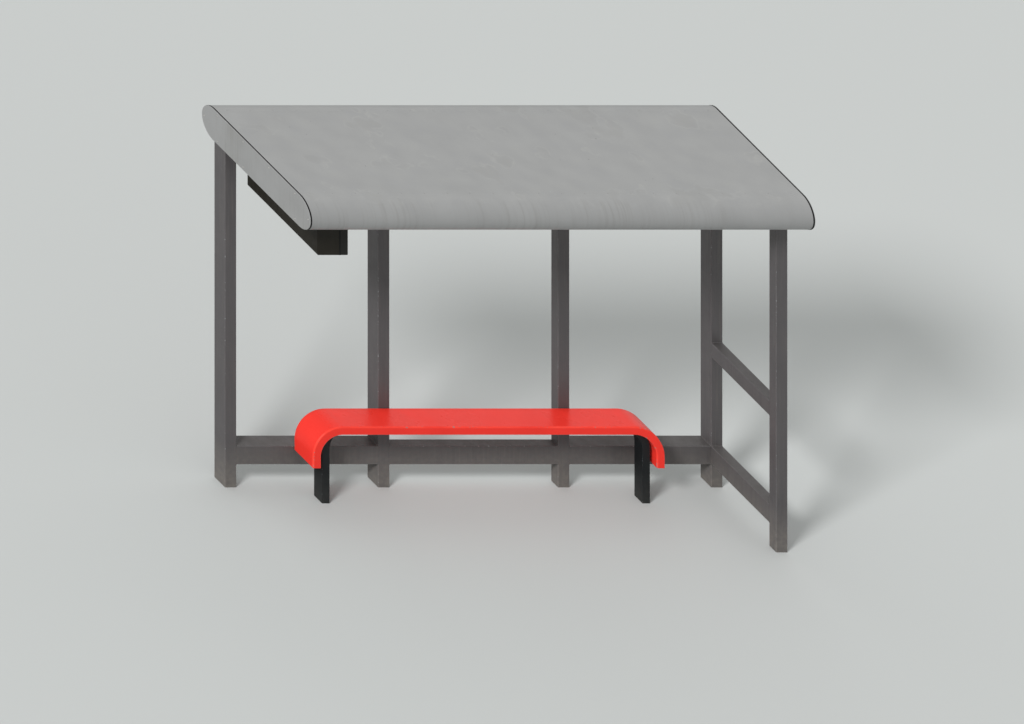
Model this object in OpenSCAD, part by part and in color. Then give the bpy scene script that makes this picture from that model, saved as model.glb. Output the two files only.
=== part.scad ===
// Open bus shelter with a flat round-edged roof, five posts, low rails, a bench and a hanging display.
// X runs along the shelter, Y from the open front to the back, Z up.
// The origin is on the ground under the middle of the roof.

/* [Frame] */
// Distance between the centres of the two posts of each end bay
end_bay = 1000; // [850:10:1300]
// Distance between the centres of the two middle rear posts
middle_bay = 1175; // [1000:5:1500]
// Width of every post and side rail, along the shelter
post_width = 75; // [60:1:90]
// Depth of the three deep rear posts and of the end bay rails, front to back
post_depth = 100; // [80:1:120]
// Depth of the slim posts and of the middle rail, front to back
slim_depth = 65; // [50:1:75]
// Distance from the front of the rear posts to the front of the front post
front_reach = 600; // [500:10:750]
// Wall of the steel posts and rails
tube_wall = 4; // [3:0.5:6]
// Outer corner radius of the posts and rails
corner_radius = 4; // [2:0.5:8]
// Diameter of the weep hole low in the back of each post
weep_hole = 10; // [6:1:16]
// Height of the weep holes above the ground
weep_height = 45; // [25:5:100]

/* [Rails] */
// Gap between the ground and the low rails
low_rail_gap = 150; // [80:5:250]
// Height of the low rails
low_rail_height = 120; // [80:5:160]
// Gap between the ground and the upper side rail
upper_rail_gap = 850; // [700:10:1000]
// Height of the upper side rail
upper_rail_height = 95; // [70:5:130]

/* [Roof] */
// Clear height from the ground to the underside of the roof
headroom = 2215; // [2100:5:2500]
// Thickness of the whole roof, which its round edges follow
roof_thickness = 205; // [160:5:240]
// Length of roof past the posts at each end
roof_end_overhang = 25; // [15:1:150]
// Depth of roof past the backs of the rear posts
roof_rear_overhang = 78; // [50:1:150]
// Depth of roof past the front of the front post
roof_front_overhang = 222; // [150:1:350]
// Thickness of the roof's top, soffit and nosing sheets
roof_sheet = 3; // [2:0.5:5]
// Flat lip by which each nosing lands on its edge rail
nosing_lip = 30; // [15:1:35]
// Width of the edge rails inside the roof
edge_rail_width = 40; // [38:1:60]
// Width of the cantilever beams inside the roof
beam_width = 60; // [50:5:80]
// Wall of the beams and edge rails inside the roof
roof_tube_wall = 4; // [3:0.5:6]
// Diameter of the lightening holes through each beam
beam_hole = 110; // [60:5:120]
// Spacing of the lightening holes along each beam
beam_hole_spacing = 200; // [180:5:230]
// Thickness of the roof's end plates
cap_plate = 4; // [3:0.5:8]
// Depth of the end plates' inner lip
cap_lip = 15; // [8:1:20]
// Open joint between neighbouring soffit panels
panel_joint = 2; // [1:0.5:4]

/* [Post heads] */
// Thickness of the head plates and their ribs
head_plate = 10; // [6:1:14]
// Width of head plate past each side of its post
head_side = 10; // [6:1:15]
// Length of head plate past the open face of its post
head_reach = 110; // [80:5:150]
// Height of the rib under each head plate
rib_height = 50; // [40:5:150]
// Flat tip left at the two ends of each rib
rib_tip = 15; // [10:1:25]
// Diameter of the bolt holes through the head plates, soffit and beams
head_bolt_hole = 12; // [8:1:13]
// Clear edge between the bolt holes and the inner faces of the beams
head_bolt_edge = 2; // [1:0.5:3]
// Distance from a post's open face to its first pair of bolts
head_bolt_start = 30; // [20:1:35]
// Distance between the two pairs of bolts of a post head
head_bolt_pitch = 35; // [25:1:40]

/* [Display] */
// Length of the display from front to back
display_length = 644; // [500:2:700]
// Width of the display's housing, without its door
display_housing_width = 148; // [110:1:180]
// Thickness of the display's door
display_door_width = 52; // [40:1:70]
// Height of the display's housing and door
display_height = 234; // [180:2:300]
// Distance from the roof's end to the display
display_inset = 172; // [120:1:250]
// Sheet thickness of the display's housing and door
display_sheet = 3; // [2:0.5:5]
// Outer radius of the folds along the display's housing and door
display_fold = 7; // [6:1:15]
// Length of the ventilation slots under the housing
vent_length = 80; // [40:5:90]
// Width of the ventilation slots
vent_width = 5; // [3:0.5:8]
// Spacing of the ventilation slots
vent_spacing = 20; // [12:1:30]
// Least distance from the ends of the display to its ventilation slots
vent_inset = 100; // [60:5:160]
// Width of the door's frame round the glass
door_frame = 34; // [25:1:50]
// Corner radius of the window through the door
window_corner = 6; // [2:1:12]
// Thickness of the display's glass
display_glass = 5; // [3:0.5:8]
// Width of glass held behind the door's frame
glass_edge = 12; // [6:1:18]
// Thickness of the screen behind the glass
screen_depth = 14; // [8:1:20]
// Thickness of the plate that carries the display under the roof
mount_plate = 8; // [5:1:12]
// Width of the display's mounting plate
mount_plate_width = 110; // [80:5:140]
// Distance from each end of the display to its mounting plate
mount_plate_inset = 60; // [30:5:120]

/* [Bench] */
// Length of the seat over its bent ends
seat_length = 2300; // [2000:10:2350]
// Depth of the seat, front to back
seat_depth = 178; // [150:1:240]
// Thickness of the seat's hollow section
seat_thickness = 54; // [40:1:70]
// Height of the seat's top above the ground
seat_height = 520; // [450:5:560]
// Outer radius of the bends at the seat's ends
seat_bend = 200; // [150:5:240]
// Height from the seat's top to the bottom of its bent ends
seat_drop = 270; // [245:5:320]
// Wall of the seat's hollow section
seat_wall = 3; // [2:0.5:6]
// Outer corner radius of the seat's section
seat_corner = 8; // [5:1:14]
// Distance from the middle of the shelter to the middle of the bench
bench_offset = 25; // [0:1:60]
// Width of each bench leg, along the bench
leg_width = 50; // [40:1:60]
// Depth of each bench leg, front to back
leg_depth = 75; // [60:1:100]
// Distance from the seat's front edge back to the legs
leg_setback = 30; // [15:1:50]
// Gap between each leg and the inner face of the seat's bent end
leg_end_gap = 25; // [10:1:40]
// Radius by which each leg's top curves in under the seat
leg_bend = 125; // [118:1:160]
// Height of the curved top of each leg
leg_rise = 110; // [80:5:112]
// Wall of the bench legs
leg_wall = 5; // [3:0.5:8]

/* [Fits] */
// Clearance where one curved piece sits inside or against another
fit_gap = 0.3; // [0.2:0.1:0.5]

/* [Hidden] */
$fn = 96;

frame_colour = "#565254";
roof_colour = "#a1a1a1";
seat_colour = "#ed4840";
leg_colour = "#2c2f2f";
display_colour = "#2e2b26";
screen_colour = "#111214";
overcut = 1;
// Least inner corner radius of the seat's hollow section
least_corner = 0.5;

// Rear posts, from left to right
post_x = [
    -middle_bay / 2 - end_bay,
    -middle_bay / 2,
    middle_bay / 2,
    middle_bay / 2 + end_bay
];
rear_depths = [post_depth, post_depth, slim_depth, post_depth];
rail_depths = [post_depth, slim_depth, post_depth];

roof_length = middle_bay + 2 * end_bay + post_width + 2 * roof_end_overhang;
roof_depth = roof_rear_overhang + post_depth + front_reach + roof_front_overhang;
rear_plane = roof_depth / 2 - roof_rear_overhang - post_depth;
front_post_y = rear_plane - front_reach;
roof_radius = roof_thickness / 2;
roof_middle = headroom + roof_radius;
roof_flat = roof_depth / 2 - roof_radius;
roof_inside = roof_thickness - 2 * roof_sheet;
panel_reach = roof_flat - nosing_lip;
skin_length = roof_length - 2 * cap_plate;
post_top = headroom - head_plate;
beam_floor = headroom + roof_sheet + roof_tube_wall;
head_bolt_side = beam_width / 2 - roof_tube_wall - head_bolt_edge - head_bolt_hole / 2;

// Left and right edges of the three soffit panels, which meet under the two middle beams
soffit_edges = [
    -skin_length / 2,
    post_x[1] - panel_joint / 2,
    post_x[1] + panel_joint / 2,
    post_x[2] - panel_joint / 2,
    post_x[2] + panel_joint / 2,
    skin_length / 2
];

display_left = display_inset - roof_length / 2;
door_left = display_left + display_housing_width;
door_right = door_left + display_door_width;
display_bottom = headroom - mount_plate - display_height;
glass_right = door_right - display_sheet;
display_middle = display_bottom + display_height / 2;
vent_steps = floor((display_length - 2 * vent_inset) / vent_spacing);

seat_back = rear_plane;
seat_front = seat_back - seat_depth;
seat_underside = seat_height - seat_thickness;
seat_bend_z = seat_height - seat_bend;
seat_end_z = seat_height - seat_drop;
seat_flat = seat_length / 2 - seat_bend;
seat_inner_end = seat_length / 2 - seat_thickness;
leg_outer = seat_inner_end - leg_end_gap;
leg_bend_z = seat_underside - leg_rise;

// Rectangle with round corners, centred
module rounded_rect(width, depth, radius) {
    square([width - 2 * radius, depth], center = true);
    square([width, depth - 2 * radius], center = true);
    for (x = [-1, 1], y = [-1, 1])
        translate([x * (width / 2 - radius), y * (depth / 2 - radius)])
            circle(r = radius);
}

// Wall of a tube's section: round outside corners, square bore
module tube_section(width, depth) {
    difference() {
        rounded_rect(width, depth, corner_radius);
        square([width - 2 * tube_wall, depth - 2 * tube_wall], center = true);
    }
}

// Upright tube on the ground, its front face at front_y, with a weep hole through its back
module post(x, front_y, depth) {
    color(frame_colour)
        difference() {
            translate([x, front_y + depth / 2, 0])
                linear_extrude(post_top)
                    tube_section(post_width, depth);
            translate([x, front_y + depth + overcut, weep_height])
                rotate([90, 0, 0])
                    cylinder(d = weep_hole, h = tube_wall + 2 * overcut);
        }
}

// Rail with plated ends, lying along Z before it is turned
module closed_tube(width, depth, length) {
    difference() {
        linear_extrude(length)
            rounded_rect(width, depth, corner_radius);
        translate([0, 0, tube_wall])
            linear_extrude(length - 2 * tube_wall)
                square([width - 2 * tube_wall, depth - 2 * tube_wall], center = true);
    }
}

// Low rail of a rear bay, between its two posts and flush with their fronts
module rear_rail(bay) {
    depth = rail_depths[bay];
    left = post_x[bay] + post_width / 2;
    right = post_x[bay + 1] - post_width / 2;
    color(frame_colour)
        translate([left, rear_plane + depth / 2, low_rail_gap + low_rail_height / 2])
            rotate([90, 0, 90])
                closed_tube(depth, low_rail_height, right - left);
}

// Rail of the right side, from the front post back to the last rear post
module side_rail(z, height) {
    color(frame_colour)
        translate([post_x[3], rear_plane, z + height / 2])
            rotate([90, 0, 0])
                closed_tube(post_width, height, front_reach - slim_depth);
}

// Triangular rib with blunt tips, standing under a head plate
module head_rib(x, face_y) {
    translate([x - head_plate / 2, face_y, post_top])
        rotate([90, 0, 90])
            linear_extrude(head_plate)
                polygon([
                    [0, 0],
                    [-head_reach + rib_tip, 0],
                    [-head_reach + rib_tip, -rib_tip],
                    [-rib_tip, -rib_height],
                    [0, -rib_height]
                ]);
}

// Upright holes of the four bolts of one post head, as long as all that they go through
module head_bolt_holes(x, front_y) {
    for (side = [-1, 1], step = [0, 1])
        translate([
            x + side * head_bolt_side,
            front_y - head_bolt_start - step * head_bolt_pitch,
            post_top - overcut
        ])
            cylinder(d = head_bolt_hole, h = beam_floor - post_top + 2 * overcut);
}

// Bolt holes of all five post heads
module roof_bolt_holes() {
    for (x = post_x)
        head_bolt_holes(x, rear_plane);
    head_bolt_holes(post_x[3], front_post_y);
}

// Plate from a post's top forward under the soffit, with a rib in front of the post
module post_head(x, front_y, depth) {
    width = post_width + 2 * head_side;
    color(frame_colour) {
        difference() {
            translate([x - width / 2, front_y - head_reach, post_top])
                cube([width, head_reach + depth, head_plate]);
            head_bolt_holes(x, front_y);
        }
        head_rib(x, front_y);
    }
}

module rear_post_head(i) {
    post_head(post_x[i], rear_plane, rear_depths[i]);
}

// Outline of the roof seen from its end, drawn smaller all round by inset
module roof_outline(inset) {
    radius = roof_radius - inset;
    square([2 * roof_flat, 2 * radius], center = true);
    for (side = [-1, 1])
        translate([side * roof_flat, 0])
            circle(r = radius);
}

// Stands a roof section drawn in Y and Z up at x and gives it a length
module along_roof(x, length) {
    translate([x, 0, roof_middle])
        rotate([90, 0, 90])
            linear_extrude(length)
                children();
}

// Section of the tubes hidden inside the roof, as high as the space between its sheets
module roof_tube_section(width) {
    difference() {
        square([width, roof_inside], center = true);
        square([width - 2 * roof_tube_wall, roof_inside - 2 * roof_tube_wall], center = true);
    }
}

// Half-round edge sheet with flat lips; side is -1 at the front and 1 at the rear
module roof_nosing(side) {
    color(roof_colour)
        along_roof(-skin_length / 2, skin_length)
            intersection() {
                difference() {
                    roof_outline(0);
                    roof_outline(roof_sheet);
                }
                translate([side * (panel_reach + roof_radius), 0])
                    square([2 * roof_radius, 2 * roof_thickness], center = true);
            }
}

// Flat sheet between the two nosings
module roof_sheet_between(x1, x2, z) {
    translate([x1, -panel_reach, z])
        cube([x2 - x1, 2 * panel_reach, roof_sheet]);
}

module roof_top() {
    color(roof_colour)
        roof_sheet_between(-skin_length / 2, skin_length / 2, headroom + roof_thickness - roof_sheet);
}

module soffit(x1, x2) {
    color(roof_colour)
        difference() {
            roof_sheet_between(x1, x2, headroom);
            roof_bolt_holes();
        }
}

// End plate with a lip that reaches inside the sheets; side is -1 at the left end
module roof_end(side) {
    color(roof_colour)
        mirror([side < 0 ? 1 : 0, 0, 0]) {
            along_roof(skin_length / 2, cap_plate)
                roof_outline(0);
            along_roof(skin_length / 2 - cap_lip, cap_lip)
                difference() {
                    roof_outline(roof_sheet + fit_gap);
                    roof_outline(2 * roof_sheet + fit_gap);
                }
        }
}

// Tall tube inside each long edge of the roof, which carries its nosing
module roof_edge_rail(side) {
    length = skin_length - 2 * cap_lip;
    color(roof_colour)
        along_roof(-length / 2, length)
            translate([side * (roof_flat - edge_rail_width / 2), 0])
                roof_tube_section(edge_rail_width);
}

// Deep tube over a post, from one edge rail to the other, with lightening holes and bolt holes
module roof_beam(i) {
    reach = roof_flat - edge_rail_width;
    color(roof_colour)
        difference() {
            translate([post_x[i], 0, roof_middle])
                rotate([90, 0, 0])
                    linear_extrude(2 * reach, center = true)
                        roof_tube_section(beam_width);
            for (step = [-1:1])
                translate([post_x[i], step * beam_hole_spacing, roof_middle])
                    rotate([0, 90, 0])
                        cylinder(d = beam_hole, h = beam_width + 2 * overcut, center = true);
            roof_bolt_holes();
        }
}

module display_mount() {
    color(display_colour)
        translate([
            display_left + (display_housing_width - mount_plate_width) / 2,
            mount_plate_inset - display_length / 2,
            headroom - mount_plate
        ])
            cube([mount_plate_width, display_length - 2 * mount_plate_inset, mount_plate]);
}

// Pane of the display from x to the right, smaller than the display by inset all round
module display_pane(x, width, inset) {
    translate([x, inset - display_length / 2, display_bottom + inset])
        cube([width, display_length - 2 * inset, display_height - 2 * inset]);
}

// Box of the display from x to the right, with round folds along its side -1 or 1; inset thins it
module folded_box(x, width, inset, side) {
    height = display_height - 2 * inset;
    translate([x + width / 2, display_length / 2 - inset, display_middle])
        rotate([90, 0, 0])
            linear_extrude(display_length - 2 * inset) {
                rounded_rect(width, height, display_fold - inset);
                translate([-side * width / 4, 0])
                    square([width / 2, height], center = true);
            }
}

// Slot with round ends, along X
module vent_slot() {
    reach = (vent_length - vent_width) / 2;
    square([2 * reach, vent_width], center = true);
    for (side = [-1, 1])
        translate([side * reach, 0])
            circle(d = vent_width);
}

// Row of slots cut down through the underside of the housing
module vent_row() {
    translate([display_left + display_housing_width / 2, 0, display_bottom - overcut])
        linear_extrude(display_sheet + 2 * overcut)
            for (step = [0:vent_steps])
                translate([0, (step - vent_steps / 2) * vent_spacing])
                    vent_slot();
}

// Five-sided sheet box with slots below, open towards its door
module display_housing() {
    color(display_colour)
        difference() {
            folded_box(display_left, display_housing_width, 0, -1);
            folded_box(display_left + display_sheet, display_housing_width, display_sheet, -1);
            vent_row();
        }
}

// Window with round corners, cut through the face of the door
module door_window() {
    translate([door_left, 0, display_middle])
        rotate([90, 0, 90])
            linear_extrude(display_door_width + overcut)
                rounded_rect(
                    display_length - 2 * door_frame,
                    display_height - 2 * door_frame,
                    window_corner
                );
}

// Door: a shallow pan with a window
module display_door() {
    color(display_colour)
        difference() {
            folded_box(door_left, display_door_width, 0, 1);
            folded_box(door_left - display_sheet, display_door_width, display_sheet, 1);
            door_window();
        }
}

module display_glass_pane() {
    color(screen_colour)
        display_pane(glass_right - display_glass, display_glass, door_frame - glass_edge);
}

module display_screen() {
    color(screen_colour)
        display_pane(glass_right - display_glass - screen_depth, screen_depth, door_frame - glass_edge);
}

// Seat section bent down at both ends; inset draws it smaller all round
module seat_sweep(inset) {
    thickness = seat_thickness - 2 * inset;
    depth = seat_depth - 2 * inset;
    corner = max(seat_corner - inset, least_corner);
    rotate([90, 0, 90])
        translate([0, seat_height - seat_thickness / 2, -seat_flat])
            linear_extrude(2 * seat_flat)
                rounded_rect(depth, thickness, corner);
    for (side = [0, 1])
        mirror([side, 0, 0])
            translate([seat_flat, 0, seat_bend_z]) {
                rotate([90, 0, 0])
                    rotate_extrude(angle = 90)
                        translate([seat_bend - seat_thickness / 2, 0])
                            rounded_rect(thickness, depth, corner);
                translate([seat_bend - seat_thickness / 2, 0, seat_end_z + inset - seat_bend_z])
                    linear_extrude(seat_bend_z - seat_end_z - inset)
                        rounded_rect(thickness, depth, corner);
            }
}

module bench_seat() {
    color(seat_colour)
        translate([-bench_offset, seat_back - seat_depth / 2, 0])
            difference() {
                seat_sweep(0);
                seat_sweep(seat_wall);
            }
}

// Space under the seat and between its bent ends, drawn in X and Z and smaller by inset
module under_seat(inset) {
    radius = seat_bend - seat_thickness - inset;
    end = seat_inner_end - inset;
    for (side = [-1, 1])
        translate([side * seat_flat, seat_bend_z])
            circle(r = radius);
    translate([-seat_flat, 0])
        square([2 * seat_flat, seat_underside - inset]);
    translate([-end, 0])
        square([2 * end, seat_bend_z]);
}

// Side view of a leg: upright, then curving in under the seat; inset thins it by its wall
module leg_profile(inset) {
    translate([leg_outer - leg_width + inset, inset])
        square([leg_width - 2 * inset, leg_bend_z - inset]);
    translate([leg_outer - leg_bend, leg_bend_z])
        difference() {
            intersection() {
                circle(r = leg_bend - inset);
                square([leg_bend, leg_bend]);
            }
            translate([-leg_width, 0])
                circle(r = leg_bend + inset);
        }
}

module leg_block(inset) {
    translate([0, seat_front + leg_setback + leg_depth - inset, 0])
        rotate([90, 0, 0])
            linear_extrude(leg_depth - 2 * inset)
                intersection() {
                    leg_profile(inset);
                    under_seat(fit_gap + inset);
                }
}

// Hollow leg; side is -1 at the left and 1 at the right
module bench_leg(side) {
    color(leg_colour)
        translate([-bench_offset, 0, 0])
            mirror([side < 0 ? 1 : 0, 0, 0])
                difference() {
                    leg_block(0);
                    leg_block(leg_wall);
                }
}

post(post_x[0], rear_plane, rear_depths[0]);  // rear_post_1
post(post_x[1], rear_plane, rear_depths[1]);  // rear_post_2
post(post_x[2], rear_plane, rear_depths[2]);  // rear_post_3
post(post_x[3], rear_plane, rear_depths[3]);  // rear_post_4
post(post_x[3], front_post_y, slim_depth);  // front_post
rear_rail(0);  // rear_rail_left
rear_rail(1);  // rear_rail_middle
rear_rail(2);  // rear_rail_right
side_rail(low_rail_gap, low_rail_height);  // side_rail_lower
side_rail(upper_rail_gap, upper_rail_height);  // side_rail_upper
rear_post_head(0);  // post_head_1
rear_post_head(1);  // post_head_2
rear_post_head(2);  // post_head_3
rear_post_head(3);  // post_head_4
post_head(post_x[3], front_post_y, slim_depth);  // post_head_front
roof_beam(0);  // roof_beam_1
roof_beam(1);  // roof_beam_2
roof_beam(2);  // roof_beam_3
roof_beam(3);  // roof_beam_4
roof_edge_rail(-1);  // roof_edge_rail_front
roof_edge_rail(1);  // roof_edge_rail_rear
roof_top();
roof_nosing(-1);  // roof_nosing_front
roof_nosing(1);  // roof_nosing_rear
roof_end(-1);  // roof_end_left
roof_end(1);  // roof_end_right
soffit(soffit_edges[0], soffit_edges[1]);  // soffit_left
soffit(soffit_edges[2], soffit_edges[3]);  // soffit_middle
soffit(soffit_edges[4], soffit_edges[5]);  // soffit_right
display_mount();
display_housing();
display_door();
display_glass_pane();
display_screen();
bench_seat();
bench_leg(-1);  // bench_leg_left
bench_leg(1);  // bench_leg_right
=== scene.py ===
"""Finishes the bus shelter: coated tubes, roof sheets, display, bench, fixings and the stage."""

import math

import bmesh
import bpy
from mathutils import Matrix, Vector


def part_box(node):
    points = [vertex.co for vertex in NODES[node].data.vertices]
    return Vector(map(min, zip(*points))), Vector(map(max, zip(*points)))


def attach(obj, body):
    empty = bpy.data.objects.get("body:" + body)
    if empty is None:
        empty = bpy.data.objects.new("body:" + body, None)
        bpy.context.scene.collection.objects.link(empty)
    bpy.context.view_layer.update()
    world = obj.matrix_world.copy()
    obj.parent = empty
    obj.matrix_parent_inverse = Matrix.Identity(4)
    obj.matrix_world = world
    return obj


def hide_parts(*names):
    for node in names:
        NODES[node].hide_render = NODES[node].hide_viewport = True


bl_info = {
    "name": "Bus Shelter Finish",
    "version": (1, 0, 0),
    "blender": (4, 5, 0),
    "location": "View3D > Sidebar > Shelter",
    "description": "Builds the finished pieces of an open bus shelter round its construction",
    "category": "Add Mesh",
}

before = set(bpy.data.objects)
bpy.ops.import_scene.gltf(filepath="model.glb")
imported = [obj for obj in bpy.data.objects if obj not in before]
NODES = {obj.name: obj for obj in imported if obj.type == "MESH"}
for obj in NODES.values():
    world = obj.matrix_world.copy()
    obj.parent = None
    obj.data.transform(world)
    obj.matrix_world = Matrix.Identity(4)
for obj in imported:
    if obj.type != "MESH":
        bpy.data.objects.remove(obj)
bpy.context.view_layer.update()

PICTURE_WIDTH = 1024
METRES_PER_PIXEL = 0.00653
MILLIMETRE = 0.001
# Points nearer than this are one point
MERGE = 1e-5
# Faces that meet at less than this are one face
FLAT = math.radians(1)
# Faces that meet at more than this have a sharp edge between them
SHARP = math.radians(40)
# A face looks along an axis where its normal has more than this share of it
LEVEL = 0.99
HALF_TURN = math.pi
QUARTER_TURN = math.pi / 2
CORNER_STEPS = 5
# Noise nearly always lies between these values
NOISE_SPREAD = (0.3, 0.7)
NOISE_ROUGHNESS = 0.55
PAINT_IOR = 1.42
GLASS_IOR = 1.52

REAR_POSTS = ("rear_post_1", "rear_post_2", "rear_post_3", "rear_post_4")
POSTS = (*REAR_POSTS, "front_post")
REAR_RAILS = ("rear_rail_left", "rear_rail_middle", "rear_rail_right")
SIDE_RAILS = ("side_rail_lower", "side_rail_upper")
POST_HEADS = ("post_head_1", "post_head_2", "post_head_3", "post_head_4", "post_head_front")
ROOF_BEAMS = ("roof_beam_1", "roof_beam_2", "roof_beam_3", "roof_beam_4")
EDGE_RAILS = ("roof_edge_rail_front", "roof_edge_rail_rear")
SOFFITS = ("soffit_left", "soffit_middle", "soffit_right")
BENCH_LEGS = ("bench_leg_left", "bench_leg_right")
EDGE_MARK = "edge"
EDGE_WIDTH = 0.003
SCREW_HEIGHT = 0.002


def linear(hex_colour):
    """Linear red, green and blue of an sRGB colour written as #rrggbb."""
    channels = [int(hex_colour[i : i + 2], 16) / 255 for i in (1, 3, 5)]
    return tuple(c / 12.92 if c <= 0.04045 else ((c + 0.055) / 1.055) ** 2.4 for c in channels)


# Properties


def length_property(name, description, default):
    return bpy.props.FloatProperty(
        name=name, description=description, default=default, min=0.0, precision=4, unit="LENGTH"
    )


def colour_property(name, description, hex_colour):
    return bpy.props.FloatVectorProperty(
        name=name,
        description=description,
        default=linear(hex_colour),
        min=0.0,
        max=1.0,
        size=3,
        subtype="COLOR",
    )


class ShelterSizes(bpy.types.PropertyGroup):
    """Sizes of the fine forms that the finished pieces add to the construction"""

    tube_corner: length_property("Tube corner", "Outer corner radius of the posts and rails", 0.004)
    plate_edge: length_property("Plate edge", "Rounding of the cut edges of thick plates", 0.0012)
    sheet: length_property("Sheet", "Thickness of the roof's and the display's sheets", 0.003)
    sheet_edge: length_property("Sheet edge", "Rounding of the sheets' cut edges", 0.0006)
    weld_leg: length_property("Weld leg", "Leg of the fillet welds between rails and posts", 0.005)
    weld_ripple: length_property("Weld ripple", "Spacing of the ripples along a weld", 0.004)
    seal_width: length_property("Seal width", "Width of the seals on roof ends and display", 0.009)
    seal_proud: length_property("Seal proud", "Height of the seals above the sheets", 0.001)
    rivet_radius: length_property("Rivet radius", "Radius of the rivet heads on the roof", 0.0055)
    rivet_spacing: length_property("Rivet spacing", "Spacing of the rivets along the roof", 0.15)
    screw_radius: length_property("Screw radius", "Radius of the roof's screw heads", 0.0055)
    bolt_radius: length_property("Bolt radius", "Half the head bolts' width over corners", 0.0095)
    bolt_side: length_property("Bolt side", "Head bolts' distance from the rib's middle", 0.018)
    lock_radius: length_property("Lock radius", "Radius of the display's locks", 0.009)
    seat_corner: length_property("Seat corner", "Corner radius of the seat's hollow section", 0.008)
    leg_edge: length_property("Leg edge", "Rounding of the bench legs' edges", 0.002)


class ShelterColours(bpy.types.PropertyGroup):
    """Colours of the finishes, as the object shows them in plain light"""

    frame_paint: colour_property("Frame", "Powder coat of posts and rails", "#535051")
    roof_paint: colour_property("Roof", "Powder coat of the roof sheets", "#929292")
    seat_paint: colour_property("Seat", "Powder coat of the seat", "#ee362c")
    leg_paint: colour_property("Bench legs", "Powder coat of the bench legs", "#0c1012")
    case_paint: colour_property("Display case", "Powder coat of the display housing", "#211e18")
    door_paint: colour_property("Display door", "Powder coat of the display door", "#1e1e1c")
    floor: colour_property("Floor", "Plain pale floor", "#c1c3c2")
    air: colour_property("Air", "Plain pale light from all round", "#cbcdcc")


# Mesh building


def moved(bm, matrix):
    """A bmesh, all of it moved by a matrix."""
    bmesh.ops.transform(bm, matrix=matrix, verts=bm.verts)
    return bm


def grow(bm, faces):
    """Extrudes faces in place, with none left inside, and returns the new points and faces."""
    edges = dict.fromkeys(edge for face in faces for edge in face.edges)
    made = bmesh.ops.extrude_face_region(bm, geom=[*faces, *edges])["geom"]
    verts = [item for item in made if isinstance(item, bmesh.types.BMVert)]
    return verts, [item for item in made if isinstance(item, bmesh.types.BMFace)]


def extrude(bm, faces, vector):
    """Extrudes a face region by a vector, turns every face outwards and returns the end faces."""
    verts, faces = grow(bm, faces)
    bmesh.ops.translate(bm, vec=vector, verts=verts)
    bmesh.ops.recalc_face_normals(bm, faces=bm.faces)
    return faces


def bend(bm, faces, centre, axis, angle, steps):
    """Sweeps a face region round an axis through centre and returns its end faces."""
    step = Matrix.Rotation(angle / steps, 3, axis)
    for _ in range(steps):
        verts, faces = grow(bm, faces)
        bmesh.ops.rotate(bm, cent=centre, matrix=step, verts=verts)
    return faces


def rounded_face(bm, width, depth, radius, steps=CORNER_STEPS):
    """A flat face in X and Y, centred on the origin, with round corners."""
    made = bmesh.ops.create_grid(bm, x_segments=1, y_segments=1, size=0.5)
    bmesh.ops.scale(bm, vec=(width, depth, 1), verts=made["verts"])
    soften(bm, radius, steps, made["verts"], affect="VERTICES")
    bmesh.ops.remove_doubles(bm, verts=bm.verts, dist=MERGE)
    return bm.faces[:]


def soften(bm, width, segments=3, chosen=None, affect="EDGES"):
    """Rounds the chosen edges or corner points, or else every sharp edge."""
    if chosen is None:
        chosen = [e for e in bm.edges if len(e.link_faces) == 2 and e.calc_face_angle() > SHARP]
    bmesh.ops.bevel(
        bm,
        geom=chosen,
        offset=width,
        offset_type="OFFSET",
        segments=segments,
        profile=0.5,
        affect=affect,
        material=-1,
        clamp_overlap=True,
    )


def turn_to(axis):
    """Rotation that takes Z to the named axis and keeps the other two in their cyclic order."""
    first = "XYZ".index(axis) + 1
    matrix = Matrix.Diagonal((0, 0, 0, 1))
    for column in range(3):
        matrix[(first + column) % 3][column] = 1
    return matrix


def box_bar(low, high, axis, corner):
    """A bar that fills a box along one axis, with round long edges."""
    turn = turn_to(axis)
    width, depth, length = turn.transposed() @ (high - low)
    bm = bmesh.new()
    extrude(bm, rounded_face(bm, width, depth, corner), (0, 0, length))
    bmesh.ops.translate(bm, vec=(0, 0, -length / 2), verts=bm.verts)
    return moved(bm, Matrix.Translation((low + high) / 2) @ turn)


def slab(start, size, corner, steps, length, wall=0):
    """A slab with round corners that grows from start along X, or a ring if it has a wall."""
    bm = bmesh.new()
    faces = rounded_face(bm, *size, corner, steps)
    if wall:
        bmesh.ops.inset_region(
            bm, faces=faces, thickness=wall, use_even_offset=True, use_boundary=True
        )
        bmesh.ops.delete(bm, geom=faces, context="FACES")
        bmesh.ops.remove_doubles(bm, verts=bm.verts, dist=MERGE)
        faces = bm.faces[:]
    extrude(bm, faces, (0, 0, length))
    return moved(bm, Matrix.Translation(start) @ turn_to("X"))


def block(low, high, edge, segments=3):
    """A box between two corners with rounded edges."""
    bm = bmesh.new()
    bmesh.ops.create_cube(bm, size=1)
    bmesh.ops.scale(bm, vec=high - low, verts=bm.verts)
    bmesh.ops.translate(bm, vec=(low + high) / 2, verts=bm.verts)
    soften(bm, edge, segments)
    return bm


def drum(sides, radius, height, top_radius=None):
    """A bar with flat ends and some number of sides, which stands on the origin."""
    top_radius = top_radius or radius
    bm = bmesh.new()
    bmesh.ops.create_cone(
        bm, cap_ends=True, segments=sides, radius1=radius, radius2=top_radius, depth=height
    )
    bmesh.ops.translate(bm, vec=(0, 0, height / 2), verts=bm.verts)
    return bm


def sink_top(bm, rim, depth):
    """Sinks the middle of a flat top and leaves a rim round it."""
    top = [f for f in bm.faces if f.normal.z > LEVEL]
    bmesh.ops.inset_region(bm, faces=top, thickness=rim, use_even_offset=True)
    bmesh.ops.translate(bm, vec=(0, 0, -depth), verts=top[0].verts)


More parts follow.
